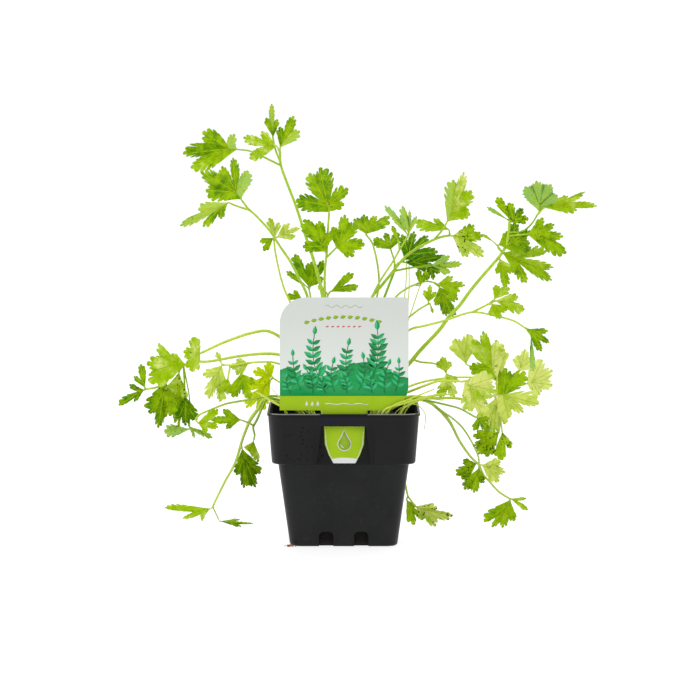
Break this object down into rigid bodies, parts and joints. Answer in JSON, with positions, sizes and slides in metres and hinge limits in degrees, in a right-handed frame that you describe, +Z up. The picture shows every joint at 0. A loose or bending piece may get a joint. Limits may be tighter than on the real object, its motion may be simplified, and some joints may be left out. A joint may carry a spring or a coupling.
{
  "type": "potted parsley",
  "caption": "Flat-leaf parsley plant in a square black plastic nursery pot, its plant label slotted into the holder on the front of the rim collar.",
  "frame": {"origin": "centre of the pot's underside, on the surface that the pot stands on", "axes": "+Z up; -Y is the front, which carries the label; +X is to the right as seen from the front"},
  "size_m": [0.3184, 0.139, 0.2888],
  "materials": {
    "pot_plastic": "satin",
    "soil": "matte",
    "label_plastic": "satin",
    "leaf_green": "satin",
    "leaf_deep": "satin",
    "leaf_pale": "satin"
  },
  "bodies": {
    "root": {"pot": "pot_plastic", "soil": "soil", "label": "label_plastic", "frond_tall_left": "leaf_green", "frond_high_left": "leaf_green", "frond_thin_left": "leaf_pale", "frond_centre": "leaf_green", "frond_inner_left": "leaf_green", "frond_inner_centre": "leaf_green", "frond_upper_centre": "leaf_green", "frond_upper_thin": "leaf_green", "frond_upper_right": "leaf_green", "frond_dark_right": "leaf_deep", "frond_mid_right": "leaf_green", "frond_small_right": "leaf_green", "frond_big_right": "leaf_green", "frond_right_low_arch": "leaf_green", "frond_right_broad": "leaf_green", "frond_right_front": "leaf_pale", "frond_right_dark": "leaf_deep", "frond_right_back": "leaf_pale", "frond_floor_right": "leaf_green", "frond_floor_back": "leaf_green", "frond_left_arch": "leaf_green", "frond_left_droop": "leaf_green", "frond_left_pale": "leaf_pale", "frond_left_yellow": "leaf_pale", "frond_left_low": "leaf_green", "frond_left_second": "leaf_deep", "frond_floor_left": "leaf_green"}
  },
  "joints": []
}
